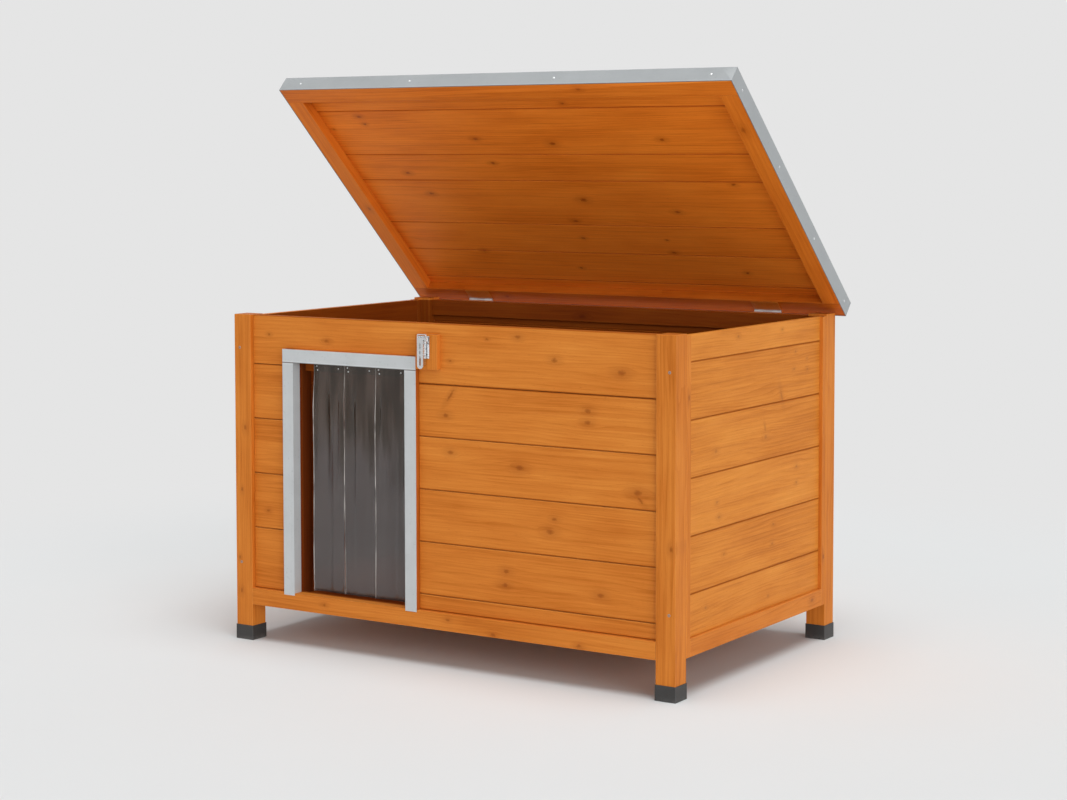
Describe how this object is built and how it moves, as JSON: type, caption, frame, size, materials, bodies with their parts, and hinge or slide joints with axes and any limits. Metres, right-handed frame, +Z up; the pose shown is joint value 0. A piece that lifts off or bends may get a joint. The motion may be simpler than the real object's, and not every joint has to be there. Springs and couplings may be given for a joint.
{
  "type": "dog house with hinged flat roof",
  "caption": "Boarded wooden dog house on legs with a metal-edged doorway, a clear strip curtain and a flat roof hinged at the back, standing open.",
  "frame": {"origin": "middle of the bottom of the bounding box at rest, with the roof standing open", "axes": "+Z up, -Y towards the door side, +X to the right when facing the door"},
  "size_m": [1.036, 0.699, 1.1212],
  "materials": {
    "stained_wood": "orange-brown stained softwood with knots, satin",
    "inner_wood": "stained softwood, matt",
    "edge_metal": "light grey coated sheet, satin",
    "steel_hardware": "bright zinc-plated steel",
    "black_plastic": "black moulded plastic, fine texture",
    "roof_felt": "dark mineral-faced roofing felt, rough",
    "clear_strip": "clear flexible plastic, slightly wrinkled"
  },
  "bodies": {
    "house": {"leg_front_left": "stained_wood", "leg_front_right": "stained_wood", "leg_rear_left": "stained_wood", "leg_rear_right": "stained_wood", "foot_cap_front_left": "black_plastic", "foot_cap_front_right": "black_plastic", "foot_cap_rear_left": "black_plastic", "foot_cap_rear_right": "black_plastic", "front_bottom_rail": "stained_wood", "rear_bottom_rail": "stained_wood", "left_bottom_rail": "stained_wood", "right_bottom_rail": "stained_wood", "floor_panel": "inner_wood", "front_top_board": "stained_wood", "front_left_board_1": "stained_wood", "front_left_board_2": "stained_wood", "front_left_board_3": "stained_wood", "front_left_board_4": "stained_wood", "front_right_board_1": "stained_wood", "front_right_board_2": "stained_wood", "front_right_board_3": "stained_wood", "front_right_board_4": "stained_wood", "front_right_board_5": "stained_wood", "right_wall_boards": "stained_wood", "right_stile_front": "stained_wood", "right_stile_rear": "stained_wood", "left_wall_panel": "stained_wood", "rear_wall_boards": "stained_wood", "rear_top_rail": "stained_wood", "door_stile_left": "stained_wood", "door_stile_right": "stained_wood", "door_head_rail": "stained_wood", "door_trim_left": "edge_metal", "door_trim_right": "edge_metal", "door_trim_top": "edge_metal", "inner_jamb_left": "inner_wood", "inner_jamb_right": "inner_wood", "curtain_batten": "inner_wood", "curtain_header": "clear_strip", "latch_block": "stained_wood", "latch_base": "steel_hardware", "hinge_leaf_body_left": "steel_hardware", "hinge_leaf_body_right": "steel_hardware"},
    "roof": {"roof_rail_front": "stained_wood", "roof_rail_rear": "stained_wood", "roof_rail_left": "stained_wood", "roof_rail_right": "stained_wood", "roof_boards": "stained_wood", "roof_felt": "roof_felt", "roof_trim_front": "edge_metal", "roof_trim_rear": "edge_metal", "roof_trim_left": "edge_metal", "roof_trim_right": "edge_metal", "hinge_leaf_roof_left": "steel_hardware", "hinge_leaf_roof_right": "steel_hardware"},
    "strip_1": {"curtain_strip_1": "clear_strip"},
    "strip_2": {"curtain_strip_2": "clear_strip"},
    "strip_3": {"curtain_strip_3": "clear_strip"},
    "lever": {"latch_lever": "steel_hardware"},
    "loop": {"latch_loop": "steel_hardware"}
  },
  "joints": [
    {"name": "roof_hinge", "type": "hinge", "parent": "house", "child": "roof", "pos_m": [0, 0.31798, 0.64775], "axis": [-1, 0, 0], "range_deg": [-42.5, 67.5]},
    {"name": "strip_1_swing", "type": "hinge", "parent": "house", "child": "strip_1", "pos_m": [-0.293, -0.29682, 0.54], "axis": [-1, 0, 0], "range_deg": [-80, 60]},
    {"name": "strip_2_swing", "type": "hinge", "parent": "house", "child": "strip_2", "pos_m": [-0.218, -0.29682, 0.54], "axis": [-1, 0, 0], "range_deg": [-80, 60]},
    {"name": "strip_3_swing", "type": "hinge", "parent": "house", "child": "strip_3", "pos_m": [-0.143, -0.29682, 0.54], "axis": [-1, 0, 0], "range_deg": [-80, 60]},
    {"name": "latch_lever_turn", "type": "hinge", "parent": "house", "child": "lever", "pos_m": [-0.0377, -0.34382, 0.62], "axis": [-1, 0, 0], "range_deg": [0, 110]},
    {"name": "latch_loop_turn", "type": "hinge", "parent": "lever", "child": "loop", "pos_m": [-0.0377, -0.34382, 0.612], "axis": [1, 0, 0], "range_deg": [0, 110]}
  ],
  "couplings": [
    {"joint": "latch_loop_turn", "follows": "latch_lever_turn", "ratio": 1}
  ]
}
